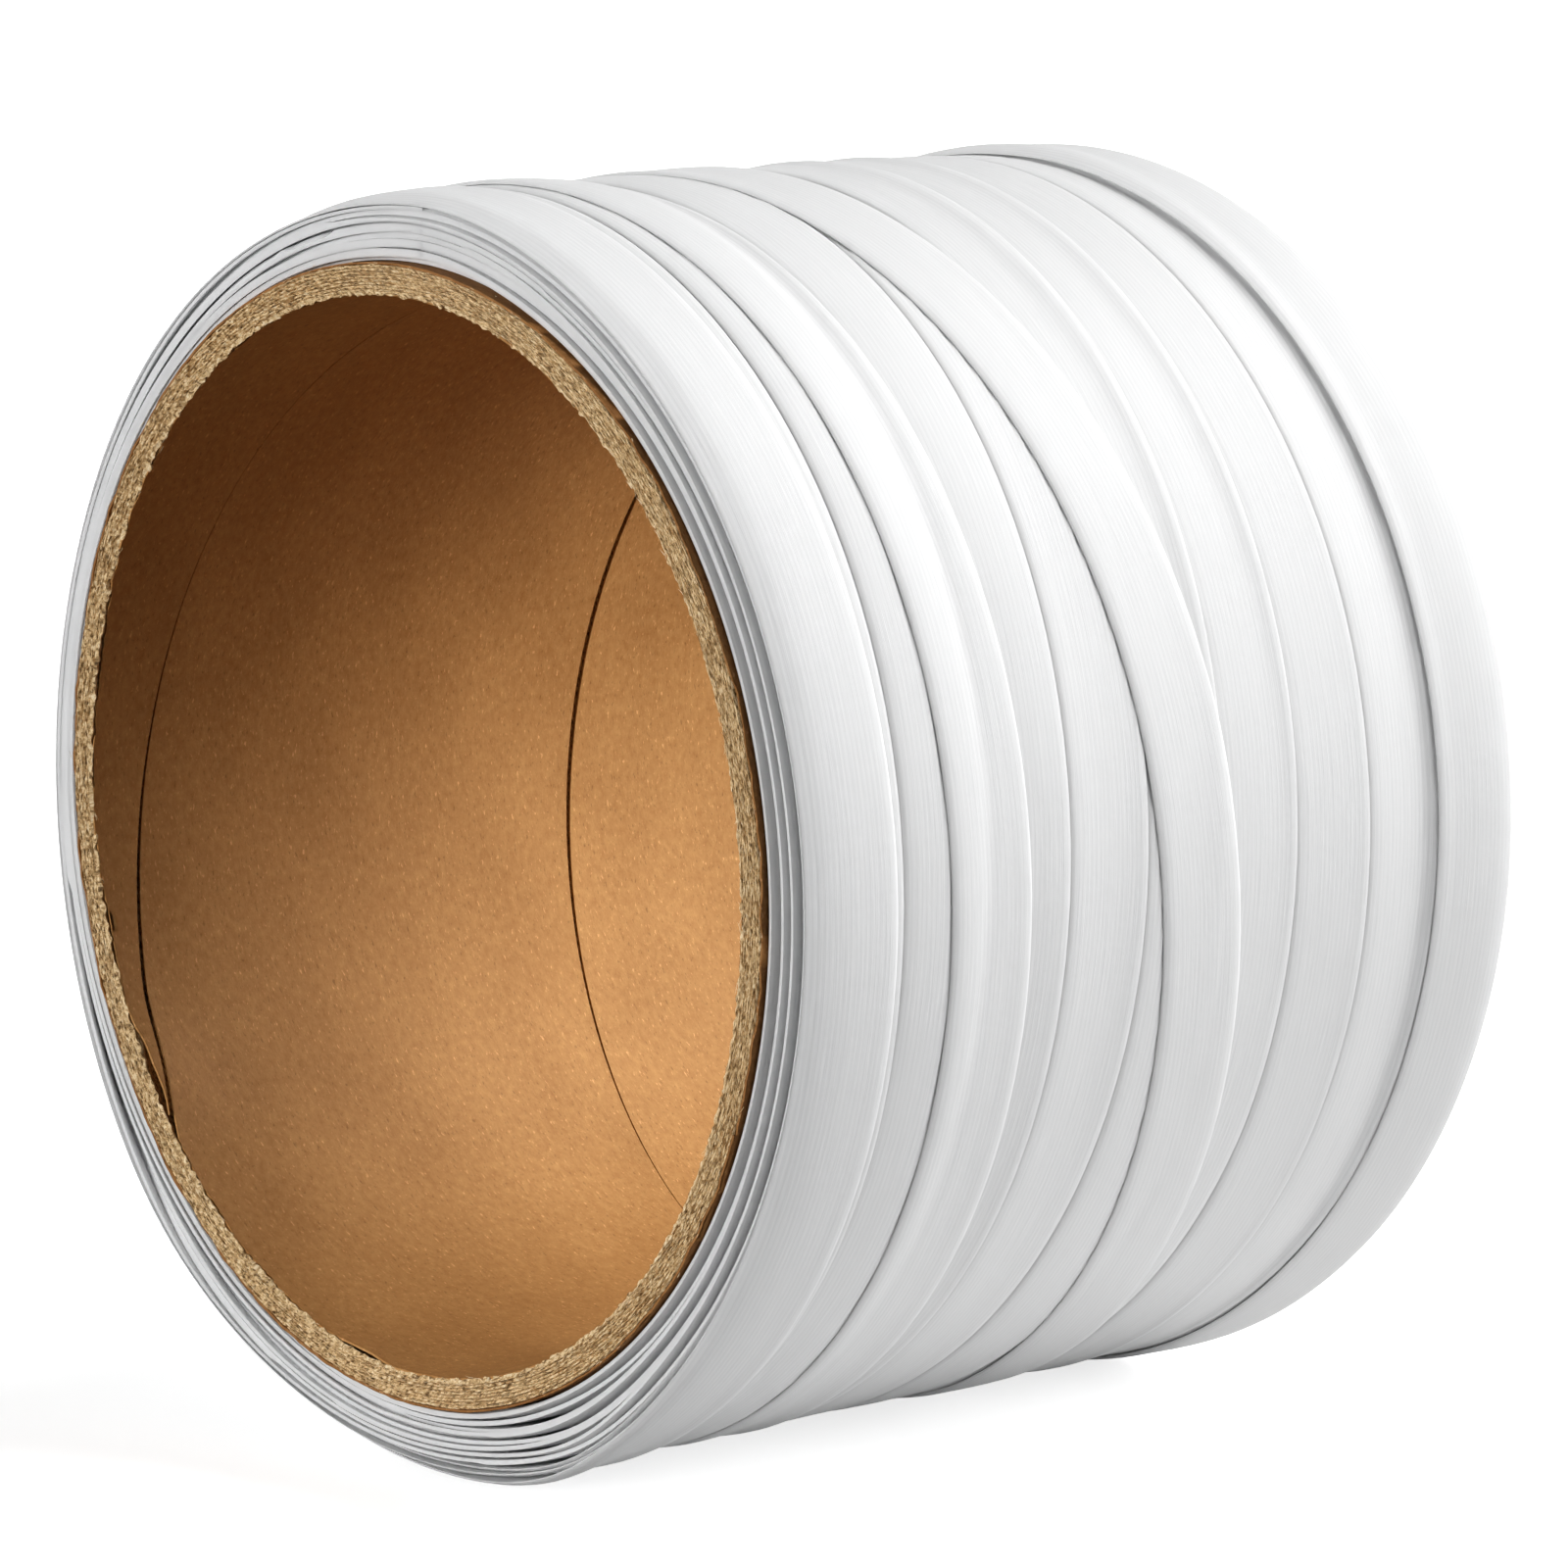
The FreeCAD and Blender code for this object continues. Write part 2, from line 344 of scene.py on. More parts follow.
def strap_route():
    """Angle, middle and pass number of every step along the strap, innermost first."""
    rng = np.random.default_rng(SEED)
    step = DEGREES_PER_STEP
    angles, middles, passes = [], [], []
    angle = START_ANGLE
    for number in range(INNER_PASS_COUNT):
        leftward = number % 2 == 0
        count = INNER_WRAPS * STEPS_PER_TURN
        along = angle + step * np.arange(count)
        turns = np.arange(count) / STEPS_PER_TURN
        turns = turns + rng.uniform(-STEP_JITTER, STEP_JITTER)
        stepped = np.clip((turns % 1 - 1 + STEP_SHARE) / STEP_SHARE, 0, 1)
        moved = np.floor(turns) + eased(stepped)
        moved = np.clip(moved, 0, INNER_WRAPS - 1)
        share = moved / (INNER_WRAPS - 1)
        share = share if leftward else 1 - share
        near = end_turn(along, NEAR_SETBACKS[number] + PACK_SETBACK, True)
        far = end_turn(along, FAR_SETBACKS[number] + PACK_SETBACK, False)
        angles.append(along)
        shifts = rng.uniform(-WRAP_SHIFT, WRAP_SHIFT, INNER_WRAPS)
        shifts += STAGGER * (1 if number % 4 < 2 else -1) * STAGGER_SHARES
        shifts[[0, -1]] = 0
        shift = np.interp(share * (INNER_WRAPS - 1), np.arange(INNER_WRAPS), shifts)
        middles.append(far * (1 - share) + near * share + shift)
        passes.append(np.full(count, number))
        angle = along[-1] + step
    first_turn = math.ceil(angle / 360) - 1
    knots = np.array([(first_turn + turn) * 360 + degrees for turn, degrees, _ in OUTER_ROUTE])
    places = np.array([place for _, _, place in OUTER_ROUTE]) + NEAR_END + PACK_SETBACK
    tip = (first_turn + OUTER_ROUTE[-1][0]) * 360 + TIP_ANGLE
    along = np.arange(angle, tip + step / 2, step)
    knots = np.insert(knots, 0, angle)
    places = np.insert(places, 0, middles[-1][-1])
    middle = smooth_line(np.interp(along, knots, places), OUTER_EASE / step)
    turn_round = (first_turn + TURN_ROUND[0]) * 360 + TURN_ROUND[1]
    angles.append(along)
    middles.append(middle)
    passes.append(np.where(along < turn_round, INNER_PASS_COUNT, INNER_PASS_COUNT + 1))
    angles = np.concatenate(angles)
    middles = np.concatenate(middles)
    inner = np.arange(len(angles)) < len(angles) - len(along)
    middles = np.where(inner, smooth_line(middles, INNER_EASE / step), middles)
    wander = smooth_line(rng.standard_normal(len(angles)), WANDER_STEPS)
    middles = middles + WANDER * np.clip(wander / wander.std(), -2, 2)
    return angles, middles, np.concatenate(passes)


def box_mean(field, reach, axis):
    """Mean over a window of reach steps either way along one axis."""
    padding = [(0, 0), (0, 0)]
    padding[axis] = (reach + 1, reach)
    total = np.cumsum(np.pad(field, padding, mode="reflect"), axis=axis)
    window = 2 * reach + 1
    if axis == 0:
        return (total[window:] - total[:-window]) / window
    return (total[:, window:] - total[:, :-window]) / window


def settle(rest, held):
    """Rest heights of a piece of strap that bridges what it is too stiff to follow. The rows in
    held are already laid."""
    rounds, across, along = SETTLING
    laid = rest
    for turn in range(rounds + 1):
        laid = box_mean(box_mean(laid, across, 1), along, 0)
        if turn < rounds:
            laid = np.maximum(laid, rest)
        laid[: len(held)] = held
    return laid


def strap_rise(from_middle, drop):
    """Thickness of the strap at a distance from its middle line."""
    from_edge = np.maximum(STRAP_WIDTH / 2 - np.abs(from_middle), 0)
    return STRAP_THICKNESS - drop * np.exp(-from_edge / EDGE_TAPER)


def air_under(passes, angles, columns_x, rest):
    """Air left under the strap: a little in the inner passes, squeezed out where the strap is
    piled high, and more where a turn at the near end is slack."""
    inward = np.clip((columns_x - NEAR_END) / AIR_REACH, 0, 1)
    air = END_AIR_GAP + (AIR_GAP - END_AIR_GAP) * inward
    piled = rest - CORE_RADIUS - LAYER_PITCH * passes[:, None]
    air = air * np.clip(1 - piled, 0, AIR_SWELL) * (passes < INNER_PASS_COUNT)[:, None]
    fade = np.clip(1 - (columns_x - NEAR_END) / SLACK_REACH, 0, 1)
    fade = eased(fade)
    for number, middle, half_span, height in SLACK:
        slack = height * bump(angles, middle, half_span) * (passes == number)
        air = air + slack[:, None] * fade
    return air


def bedding(height):
    """How much the inner passes are pressed together or spread, at each place on the core."""
    depth = height - CORE_RADIUS
    covered = depth > LAYER_PITCH
    coverage = np.maximum(ring_blur(covered * 1.0, BEDDING_WIDTHS), 0.01)
    even = ring_blur(depth * covered, BEDDING_WIDTHS) / coverage
    ratio = np.clip(even / np.maximum(depth, LAYER_PITCH), *BEDDING_LIMITS)
    x = FIELD_START + np.arange(height.shape[1]) * CELL
    inward = np.minimum(x - NEAR_END, FAR_END - x)
    share = np.clip((inward - BEDDING_ENDS[0]) / (BEDDING_ENDS[1] - BEDDING_ENDS[0]), 0, 1)
    degrees = np.arange(height.shape[0]) * DEGREES_PER_STEP
    loose = 1 + LOOSENESS * bump(degrees, *LOOSE_ARC)[:, None] * (x < 0)
    return loose + (ratio - loose) * eased(share)


def wind_strap(angles, middles, passes):
    """Lay the strap on the core step by step. Each length rests on whatever is already there,
    bridging what it is too stiff to follow, and the inner passes bed down before the outer ones
    are laid. Returns its underside and how much its thickness is pressed, in columns of CELL,
    and where the columns start."""
    cell_count = int((FAR_END - NEAR_END + 2 * FIELD_MARGIN) / CELL)
    height = np.full((STEPS_PER_TURN, cell_count), CORE_RADIUS)
    width = int(STRAP_WIDTH / CELL) + 1
    first = np.round((middles - STRAP_WIDTH / 2 - FIELD_START) / CELL).astype(int)
    rows = np.round(angles / DEGREES_PER_STEP).astype(int) % STEPS_PER_TURN
    columns = first[:, None] + np.arange(width)
    places_x = FIELD_START + columns * CELL
    underside = np.zeros((len(angles), width))
    pressed = np.ones((len(angles), width))
    inner_count = np.count_nonzero(passes < INNER_PASS_COUNT)
    for start in range(0, len(angles), HALF_TURN):
        if start == inner_count:
            ratio = bedding(height)
            height = CORE_RADIUS + (height - CORE_RADIUS) * ratio
            pressed[:start] = ratio[rows[:start, None], columns[:start]]
            underside[:start] = CORE_RADIUS + (underside[:start] - CORE_RADIUS) * pressed[:start]
        stop = min(start + HALF_TURN, len(angles))
        low, high = max(start - LAP_STEPS, 0), min(stop + LAP_STEPS, len(angles))
        span = slice(low, high)
        rest = height[rows[span, None], columns[span]]
        rest = rest + air_under(passes[span], angles[span], places_x[span], rest)
        laid = settle(rest, underside[low:start])
        underside[start:stop] = laid[start - low : stop - low]
        from_middle = places_x[start:stop] - middles[start:stop, None]
        drop = BLUNT_DROP if passes[start] < INNER_PASS_COUNT else EDGE_DROP
        top = underside[start:stop] + strap_rise(from_middle, drop)
        height[rows[start:stop, None], columns[start:stop]] = top
    pack_near_end(angles, middles, rows, columns, underside, pressed, inner_count)
    return underside, pressed, FIELD_START + first * CELL


def pack_near_end(angles, middles, rows, columns, underside, pressed, inner_count):
    """Thicken the inner turns near the near end until they meet the next turn out, which closes
    small gaps. It works inwards, from the first half turn of the outer passes."""
    ceiling = np.full((STEPS_PER_TURN, columns.max() + 1), np.inf)
    full_depth, no_depth = PACKED_DEPTH
    for start in reversed(range(0, inner_count + HALF_TURN, HALF_TURN)):
        span = slice(start, start + HALF_TURN)
        cells = (rows[span, None], columns[span])
        if start < inner_count:
            places_x = FIELD_START + columns[span] * CELL
            rise = strap_rise(places_x - middles[span, None], BLUNT_DROP)
            gap = ceiling[cells] - underside[span] - pressed[span] * rise
            gap = np.clip(np.where(np.isfinite(gap), gap, 0), 0, PACKED_GAP)
            depth = np.clip((no_depth - places_x + NEAR_END) / (no_depth - full_depth), 0, 1)
            arc = np.clip(PACKED_FULLNESS * bump(angles[span, None], *PACKED_ARC), 0, 1)
            pressed[span] += depth * arc * gap / rise
        ceiling[cells] = underside[span]


# ------------------------------------------------------------------ meshes
def on_roll(x, radius, degrees):
    """Points in metres from places along the roll, radii and angles."""
    turn = np.radians(degrees)
    x, radius, turn = np.broadcast_arrays(x, radius, turn)
    points = np.stack([x, -radius * np.sin(turn), radius * np.cos(turn)], axis=-1)
    return points * MM


def mesh_object(name, points, faces, caps, material, uv=None, sharp=50):
    """Mesh from quads and, at its ends, many-sided caps, with its outside facing out."""
    points = points.reshape(-1, 3)
    a, b, c, d = (points[faces[:, i]] for i in range(4))
    volume = np.einsum("ij,ij->i", a, np.cross(b, c)) + np.einsum("ij,ij->i", a, np.cross(c, d))
    if volume.sum() < 0:
        faces = faces[:, ::-1]
        caps = [cap[::-1] for cap in caps]
    corners = np.concatenate([faces.ravel()] + [np.asarray(cap) for cap in caps]).astype(np.int32)
    sizes = np.array([4] * len(faces) + [len(cap) for cap in caps], np.int32)
    mesh = bpy.data.meshes.new(name)
    mesh.vertices.add(len(points))
    mesh.vertices.foreach_set("co", points.astype(np.float32).ravel())
    mesh.loops.add(len(corners))
    mesh.loops.foreach_set("vertex_index", corners)
    mesh.polygons.add(len(sizes))
    mesh.polygons.foreach_set("loop_start", np.r_[0, np.cumsum(sizes)[:-1]].astype(np.int32))
    if uv is not None:
        layer = mesh.uv_layers.new(name="surface")
        layer.uv.foreach_set("vector", uv.reshape(-1, 2)[corners].astype(np.float32).ravel())
    mesh.update(calc_edges=True)
    mesh.validate()
    mesh.shade_smooth()
    mesh.set_sharp_from_angle(angle=math.radians(sharp))
    mesh.materials.append(material)
    piece = bpy.data.objects.new(name, mesh)
    bpy.context.scene.collection.objects.link(piece)
    return piece


def loop_quads(row_count, column_count, closed_rows=False):
    """Quads between successive closed cross-sections of column_count points."""
    rows = np.arange(row_count if closed_rows else row_count - 1)
    columns = np.arange(column_count)
    row, column = np.meshgrid(rows, columns, indexing="ij")
    row_next, column_next = (row + 1) % row_count, (column + 1) % column_count
    corners = ((row, column), (row_next, column), (row_next, column_next), (row, column_next))
    return np.stack([r * column_count + c for r, c in corners], axis=-1).reshape(-1, 4)


def strap_piece(name, steps, winding, material, ribbed):
    """One length of the strap between two steps, as a closed ribbon with its cords."""
    angles, middles, underside, pressed, first_x = winding
    rng = np.random.default_rng(SEED + steps[0])
    chosen = np.arange(steps[0], steps[1] + 1, MESH_STRIDE)
    top_count = 2 * CORD_COUNT + 1 if ribbed else PLAIN_TOP_POINTS
    bottom_count = UNDERSIDE_POINTS[ribbed]
    half = STRAP_WIDTH / 2
    top = np.linspace(-half, half, top_count)
    bottom = np.linspace(half - UNDERSIDE_INSET, UNDERSIDE_INSET - half, bottom_count)
    across = np.r_[top, bottom]
    rise = strap_rise(top, EDGE_DROP if ribbed else BLUNT_DROP)
    if ribbed:
        rise[0::2] -= CORD_GROOVE
        rise[1::2] += rng.uniform(-CORD_UNEVENNESS, CORD_UNEVENNESS, CORD_COUNT)
    rise = np.r_[rise, np.zeros(bottom_count)]
    x = middles[chosen, None] + across
    last_place = underside.shape[1] - 1.001   # short of the last column, so whole + 1 exists
    place = np.clip((x - first_x[chosen, None]) / CELL, 0, last_place)
    whole = place.astype(int)
    part = place - whole
    radius, pressing = (
        np.take_along_axis(field[chosen], whole, 1) * (1 - part)
        + np.take_along_axis(field[chosen], whole + 1, 1) * part
        for field in (underside, pressed)
    )
    radius = radius + pressing * rise
    degrees = angles[chosen, None]
    points = on_roll(x, radius, degrees)
    along = np.radians(degrees - degrees[0]) * TEXTURE_RADIUS / STRAP_WIDTH
    uv = np.stack(np.broadcast_arrays(across / STRAP_WIDTH + 0.5, along), axis=-1)
    count = len(across)
    faces = loop_quads(len(chosen), count)
    last = (len(chosen) - 1) * count
    caps = [list(range(count)), [last + i for i in reversed(range(count))]]
    return mesh_object(name, points, faces, caps, material, uv)


def out_of_square(degrees):
    """How far the core's near end lies behind its furthest point, at an angle."""
    return OUT_OF_SQUARE * (1 - np.cos(np.radians(degrees - SQUARE_ANGLE))) / 2


def liner_piece(name, inner_radius, seam_x, setback, material, seed, bulge=0.0):
    """One thin facing paper: a strip wound on a helix, whose edges meet at an open seam. With
    bulge it lifts off the board in places and its seam edges curl up."""
    rng = np.random.default_rng(seed)
    start, stop = ((end - seam_x) / PAPER_LEAD * 360 for end in (NEAR_END - PAPER_LEAD, FAR_END))
    degrees = np.arange(math.floor(start), math.ceil(stop) + 1, 1.0)
    beside_seam = np.array([SEAM_GAP / 2, SEAM_ROWS[0]])
    between = np.linspace(SEAM_ROWS[1], PAPER_LEAD - SEAM_ROWS[1], PAPER_ROWS)
    rows = np.r_[beside_seam, between, PAPER_LEAD - beside_seam[::-1]]
    torn = sum(depth * ring_noise(rng, (360,), (width,)) for width, depth in PAPER_TEARS)
    whole = degrees.astype(int)
    near_torn, far_torn = torn[whole % 360], torn[(whole + 90) % 360]
    low = NEAR_END + setback + (out_of_square(degrees) + near_torn)[:, None]
    high = np.minimum(FAR_END - WRAP_SETBACK + far_torn[:, None], FAR_END)
    wave_height, wave_rate = SEAM_WAVE
    wave = wave_height * np.sin(np.radians(degrees * wave_rate))[:, None]
    x = np.clip(seam_x + PAPER_LEAD * degrees[:, None] / 360 + rows + wave, low, high)
    lift = PAPER_UNEVENNESS * ring_noise(rng, x.shape, UNEVENNESS_WIDTHS)
    for middle, half_span, height, depth in LINER_BULGES:
        near = np.exp(-((x - NEAR_END) / depth) ** 2)
        lift = lift - bulge * height * bump(degrees, middle, half_span)[:, None] * near
    edge = np.exp(-rows / CURL_WIDTH) + np.exp(-(PAPER_LEAD - rows) / CURL_WIDTH)
    curl = np.sin(np.radians(degrees * CURL_RATE))[:, None] ** 2
    lift = lift - bulge * CURL_LIFT * edge * curl
    inner, outer = inner_radius + lift, inner_radius + LINER_THICKNESS + lift
    x = np.concatenate([x, x[:, ::-1]], axis=1)
    radius = np.concatenate([inner, outer[:, ::-1]], axis=1)
    points = on_roll(x, radius, degrees[:, None])
    arc = np.broadcast_to(np.radians(degrees)[:, None] * inner_radius, x.shape)
    uv = np.stack([x, arc], axis=-1) / TEXTURE_UNIT
    chosen = np.flatnonzero((x.max(1) - x.min(1)) > NARROWEST_PAPER)
    points, uv = points[chosen], uv[chosen]
    count = x.shape[1]
    faces = loop_quads(len(chosen), count)
    last = (len(chosen) - 1) * count
    caps = [list(range(count)), [last + i for i in reversed(range(count))]]
    piece = mesh_object(name, points, faces, caps, material, uv, sharp=40)
    weld(piece)
    return piece


def weld(piece):
    """Merge the points that a strip's clipped end has brought together."""
    shape = bmesh.new()
    shape.from_mesh(piece.data)
    bmesh.ops.remove_doubles(shape, verts=shape.verts, dist=WELD_DISTANCE)
    bmesh.ops.dissolve_degenerate(shape, edges=shape.edges, dist=WELD_DISTANCE)
    shape.to_mesh(piece.data)
    shape.free()


def ply_piece(name, inner_radius, outer_radius, material, seed, overhang=0.0, recess=0.0):
    """One board ply, with its two sawn ends torn into fibres and pits. Its near inner edge can be
    torn over the facing paper, and the rest of its inner face can stand back from the paper, as
    it does where the strips of paper and ply meet in a seam."""
    rng = np.random.default_rng(seed)
    degrees = np.arange(PLY_STEPS) * 360 / PLY_STEPS
    radii = np.linspace(inner_radius, outer_radius, PLY_COLUMNS + 1)
    grid = (PLY_STEPS, PLY_COLUMNS + 1)
    (small_widths, small_depth), (broad_widths, broad_depth) = SMALL_PITS, BROAD_PITS
    pits = [
        np.minimum(ring_noise(rng, grid, small_widths), PIT_LIMIT) * small_depth
        + ring_noise(rng, grid, broad_widths) * broad_depth
        for _ in range(2)
    ]
    groove = np.zeros(PLY_COLUMNS + 1)
    groove[[0, -1]] = SAWN_GROOVE
    near = NEAR_END + SAWN_SETBACK + out_of_square(degrees)[:, None] + groove - pits[0]
    near = np.maximum(near, NEAR_END)
    far = np.minimum(FAR_END - SAWN_SETBACK - groove + pits[1], FAR_END)
    middle = np.zeros((PLY_STEPS, 1))
    inside = np.broadcast_to([FAR_END - RECESS_START, NEAR_END + RECESS_START], (PLY_STEPS, 2))
    x = np.concatenate([near, middle, far[:, ::-1], inside], axis=1)
    profile = np.r_[radii, outer_radius, radii[::-1], [inner_radius + recess] * 2]
    radius = np.tile(profile, (PLY_STEPS, 1))
    width, share = OVERHANG_UNEVENNESS
    radius[:, 0] -= overhang * (1 + share * ring_noise(rng, (PLY_STEPS,), (width,)))
    points = on_roll(x, radius, degrees[:, None])
    arc = np.broadcast_to(np.radians(degrees)[:, None] * inner_radius, x.shape)
    uv = np.stack([radius + x, arc], axis=-1) / TEXTURE_UNIT
    faces = loop_quads(PLY_STEPS, x.shape[1], closed_rows=True)
    return mesh_object(name, points, faces, [], material, uv, sharp=60)


def fibre_piece(name, sites, material, seed):
    """Torn fibres that stand out of the board's near end, as thin three-sided rods. Each site
    is (count, radius, spread, length)."""
    rng = np.random.default_rng(seed)
    rods = []
    for count, radius, spread, length in sites:
        degrees = rng.uniform(0, 360, count)
        radii = radius + rng.normal(0, spread, count)
        root = np.stack([NEAR_END + FIBRE_ROOT + out_of_square(degrees), radii, degrees], axis=1)
        run = rng.uniform(0.35, 1.0, count) * length * rng.choice((-1, 1), count)
        inward = rng.uniform(-0.5, 0.9, count) * FIBRE_STAND
        outward = rng.uniform(0.2, 1.0, count) * FIBRE_STAND
        step = np.stack([-outward, -inward, np.degrees(run / radius)], axis=1)
        corners = []
        for share, width in ((0.0, 1.0), (0.55, 0.8), (1.0, 0.3)):
            bend = np.array([share**1.5, share**2, share])
            centre = root + step * bend
            for corner in (90, 210, 330):
                x = centre[:, 0] + FIBRE_RADIUS * width * math.cos(math.radians(corner))
                r = centre[:, 1] + FIBRE_RADIUS * width * math.sin(math.radians(corner))
                corners.append(on_roll(x, r, centre[:, 2]))
        rods.append(np.stack(corners, axis=1))
    points = np.concatenate(rods)
    first = np.arange(len(points))[:, None] * points.shape[1]
    sides = [(0, 1, 4, 3), (1, 2, 5, 4), (2, 0, 3, 5), (3, 4, 7, 6), (4, 5, 8, 7), (5, 3, 6, 8)]
    faces = np.concatenate([first + np.array(side) for side in sides])
    caps = [list(cap) for corners in ((2, 1, 0), (6, 7, 8)) for cap in first + np.array(corners)]
    uv = points[..., [0, 2]] / (TEXTURE_UNIT * MM)
    return mesh_object(name, points, faces, caps, material, uv)


# ------------------------------------------------------------------ materials
# Texture coordinates run across and along the strap, in strap widths, and along and round the
# core, in TEXTURE_UNIT
class Surface:
    """A Principled material and short ways to add the nodes that drive it."""

    def __init__(self, name, colour, roughness):
        self.material = bpy.data.materials.new(name)
        self.material.use_nodes = True
        self.tree = self.material.node_tree
        self.shader = self.tree.nodes["Principled BSDF"]
        self.shader.inputs["Base Color"].default_value = (*colour, 1)
        self.shader.inputs["Roughness"].default_value = roughness

    def node(self, kind, **inputs):
        made = self.tree.nodes.new("ShaderNode" + kind)
        for key, value in inputs.items():
            socket = made.inputs[key.replace("_", " ")]
            if isinstance(value, bpy.types.NodeSocket):
                self.tree.links.new(value, socket)
            else:
                socket.default_value = value
        return made

    def placed(self, scale):
        """The surface's own flat coordinates, stretched by scale."""
        source = self.tree.nodes.new("ShaderNodeUVMap")
        source.uv_map = "surface"
        return self.node("Mapping", Vector=source.outputs["UV"], Scale=scale).outputs["Vector"]

    def noise(self, vector, scale, detail=4.0, roughness=0.6):
        made = self.node("TexNoise", Vector=vector, Scale=scale, Detail=detail, Roughness=roughness)
        return made.outputs["Fac"]

    def grain(self, first, second, detail=4.0, roughness=0.6):
        """Noise with this many grains to one unit of the surface's two coordinates."""
        return self.noise(self.placed((first, second, 1)), 1.0, detail, roughness)

    def ramp(self, value, *stops):
        made = self.node("ValToRGB", Fac=value)
        elements = made.color_ramp.elements
        while len(elements) < len(stops):
            elements.new(0.5)
        for element, (place, colour) in zip(elements, stops):
            element.position = place
            element.color = (*colour, 1)
        return made.outputs["Color"]

    def mix(self, factor, first, second, blend="MIX"):
        made = self.tree.nodes.new("ShaderNodeMix")
        made.data_type = "RGBA"
        made.blend_type = blend
        sockets = [made.inputs[index] for index in (0, 6, 7)]
        for socket, value in zip(sockets, (factor, first, second)):
            if isinstance(value, bpy.types.NodeSocket):
                self.tree.links.new(value, socket)
            elif isinstance(value, tuple):
                socket.default_value = (*value, 1)
            else:
                socket.default_value = value
        return made.outputs[2]

    def spread(self, value, low, high):
        """Map 0..1 to low..high."""
        made = self.node("MapRange", Value=value, To_Min=low, To_Max=high)
        return made.outputs["Result"]

    def finish(self, colour=None, roughness=None, height=None, depth=0.0):
        links = self.tree.links
        if colour is not None:
            links.new(colour, self.shader.inputs["Base Color"])
        if roughness is not None:
            links.new(roughness, self.shader.inputs["Roughness"])
        if height is not None:
            bumped = self.node("Bump", Height=height, Distance=depth, Strength=1.0)
            links.new(bumped.outputs["Normal"], self.shader.inputs["Normal"])
        return self.material


def strap_material():
    """White polyester cords set in a satin binder: fine threads along the strap, faint specks."""
    surface = Surface("corded_strap", (0.74, 0.742, 0.744), 0.55)
    surface.shader.inputs["Specular IOR Level"].default_value = 0.3
    surface.shader.inputs["Subsurface Weight"].default_value = 0.6
    surface.shader.inputs["Subsurface Radius"].default_value = (1.0, 1.0, 1.0)
    surface.shader.inputs["Subsurface Scale"].default_value = 0.0025
    threads = surface.grain(95, 1.1, detail=3.0, roughness=0.7)
    cloud = surface.grain(1.2, 0.35, detail=2.0, roughness=0.5)
    colour = surface.ramp(threads, (0.25, STRAP_DULL), (0.7, STRAP_PALE))
    # The wave texture has 20 / (2 pi) waves to one unit at scale 1: here one wave to each cord
    wave_scale = math.pi * CORD_COUNT / 10
    cords = surface.node("TexWave", Vector=surface.placed((1, 1, 1)), Scale=wave_scale)
    # painted shade: the colour darkens along the groove between each two cords
    groove_shade = surface.spread(cords.outputs["Fac"], 0.20, 0.0)
    colour = surface.mix(groove_shade, colour, STRAP_GROOVE_SHADE)
    colour = surface.mix(surface.spread(cloud, 0.0, 0.10), colour, STRAP_CLOUD)
    dust = surface.grain(55, 40, detail=1.0, roughness=0.5)
    specks = surface.ramp(dust, (0.845, BLACK), (0.875, (0.55, 0.55, 0.55)))
    colour = surface.mix(specks, colour, STRAP_SPECK)
    roughness = surface.spread(threads, 0.48, 0.68)
    height = surface.mix(0.35, threads, surface.grain(18, 9))
    return surface.finish(colour, roughness, height, 0.00005)


def kraft_material(name, light, dark):
    """Kraft facing paper: mottled brown, with pale and dark fibres pressed into it."""
    surface = Surface(name, light, 0.6)
    blotches = surface.grain(4.0, 2.6, detail=3.0, roughness=0.55)
    mottling = surface.grain(60, 40, detail=5.0, roughness=0.7)
    fibres = surface.grain(170, 60, detail=2.0, roughness=0.6)
    surface.shader.inputs["Specular IOR Level"].default_value = 0.15
    middle = tuple((a + b) / 2 for a, b in zip(light, dark))
    colour = surface.ramp(mottling, (0.3, dark), (0.5, middle), (0.68, light))
    shade = surface.ramp(blotches, (0.3, (0.86, 0.83, 0.79)), (0.65, WHITE))
    colour = surface.mix(1.0, colour, shade, "MULTIPLY")
    pale = surface.ramp(fibres, (0.62, BLACK), (0.72, (0.55, 0.55, 0.55)))
    colour = surface.mix(pale, colour, tuple(min(1.0, 1.5 * c + 0.06) for c in light))
    deep = surface.ramp(fibres, (0.29, (0.5, 0.5, 0.5)), (0.38, BLACK))
    colour = surface.mix(deep, colour, tuple(0.4 * c for c in dark))
    roughness = surface.spread(mottling, 0.5, 0.72)
    height = surface.mix(0.5, mottling, fibres)
    return surface.finish(colour, roughness, height, 0.00012)


def board_material():
    """Raw grey-tan board, as it shows at the sawn ends: torn fibres in thin layers."""
    surface = Surface("core_board", (0.5, 0.38, 0.23), 0.85)
    fibres = surface.grain(300, 70, detail=4.0, roughness=0.72)
    patches = surface.grain(60, 12, detail=2.0, roughness=0.5)
    colour = surface.ramp(fibres, *BOARD_TONES)
    colour = surface.mix(surface.spread(patches, 0.0, 0.25), colour, BOARD_PATCH)
    height = surface.grain(420, 160, detail=3.0, roughness=0.7)
    return surface.finish(colour, surface.spread(fibres, 0.75, 0.95), height, 0.0002)


def fibre_material():
    """Pale paper fibre."""
    surface = Surface("paper_fibre", (0.86, 0.70, 0.46), 0.8)
    tone = surface.grain(3, 3, detail=2.0)
    colour = surface.ramp(tone, (0.35, FIBRE_DARK), (0.6, FIBRE_LIGHT))
    return surface.finish(colour, surface.spread(tone, 0.7, 0.9))


